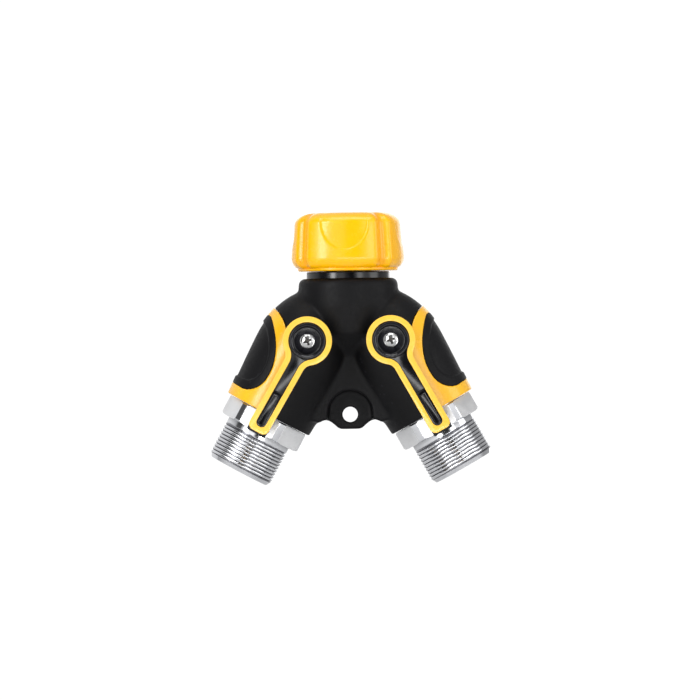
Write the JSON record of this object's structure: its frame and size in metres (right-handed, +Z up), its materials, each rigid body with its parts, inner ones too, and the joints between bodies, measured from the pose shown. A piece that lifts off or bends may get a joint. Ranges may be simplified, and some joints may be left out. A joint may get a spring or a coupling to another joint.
{
  "type": "hose splitter",
  "caption": "Y-shaped garden hose splitter with a swivel inlet nut, a soft-grip body, ball valves with quarter-turn levers and threaded hose outlets.",
  "frame": {"origin": "centre of the swivel nut's mouth, on the inlet axis", "axes": "+Z up along the inlet axis, out of the nut's mouth; +X towards the right outlet leg; the levers face -Y"},
  "size_m": [0.109, 0.0469, 0.1056],
  "materials": {
    "nut_yellow": "satin",
    "trim_yellow": "satin",
    "jacket_black": "matte",
    "pad_black": "matte",
    "lever_black": "gloss",
    "neck_black": "gloss",
    "plated_zinc": "satin",
    "ball_chrome": "polished",
    "cast_zinc": "satin",
    "brass_turned": "satin",
    "rubber_black": "matte",
    "seat_white": "satin",
    "screw_steel": "satin"
  },
  "bodies": {
    "body": {"hose_washer": "rubber_black", "inlet_tailpiece": "brass_turned", "tailpiece_o_ring": "rubber_black", "neck_ring": "neck_black", "metal_body": "cast_zinc", "front_jacket": "jacket_black", "rear_jacket": "jacket_black", "left_side_trim": "trim_yellow", "left_side_pad": "pad_black", "left_inner_seat": "seat_white", "left_outer_seat": "seat_white", "left_outlet_fitting": "plated_zinc", "left_fitting_o_ring": "rubber_black", "right_side_trim": "trim_yellow", "right_side_pad": "pad_black", "right_inner_seat": "seat_white", "right_outer_seat": "seat_white", "right_outlet_fitting": "plated_zinc", "right_fitting_o_ring": "rubber_black"},
    "nut": {"swivel_nut": "nut_yellow"},
    "left_lever": {"left_lever_handle": "lever_black", "left_lever_trim": "trim_yellow", "left_lever_screw": "screw_steel", "left_valve_stem": "brass_turned", "left_valve_ball": "ball_chrome", "left_stem_o_ring": "rubber_black"},
    "right_lever": {"right_lever_handle": "lever_black", "right_lever_trim": "trim_yellow", "right_lever_screw": "screw_steel", "right_valve_stem": "brass_turned", "right_valve_ball": "ball_chrome", "right_stem_o_ring": "rubber_black"}
  },
  "joints": [
    {"name": "nut_swivel", "type": "hinge", "parent": "body", "child": "nut", "pos_m": [0, 0, -0.0113], "axis": [0, 0, 1], "continuous": true},
    {"name": "left_valve", "type": "hinge", "parent": "body", "child": "left_lever", "pos_m": [-0.0161, -0.0195, -0.0497], "axis": [0, 1, 0], "range_deg": [0, 90]},
    {"name": "right_valve", "type": "hinge", "parent": "body", "child": "right_lever", "pos_m": [0.0161, -0.0195, -0.0497], "axis": [0, -1, 0], "range_deg": [0, 90]}
  ]
}
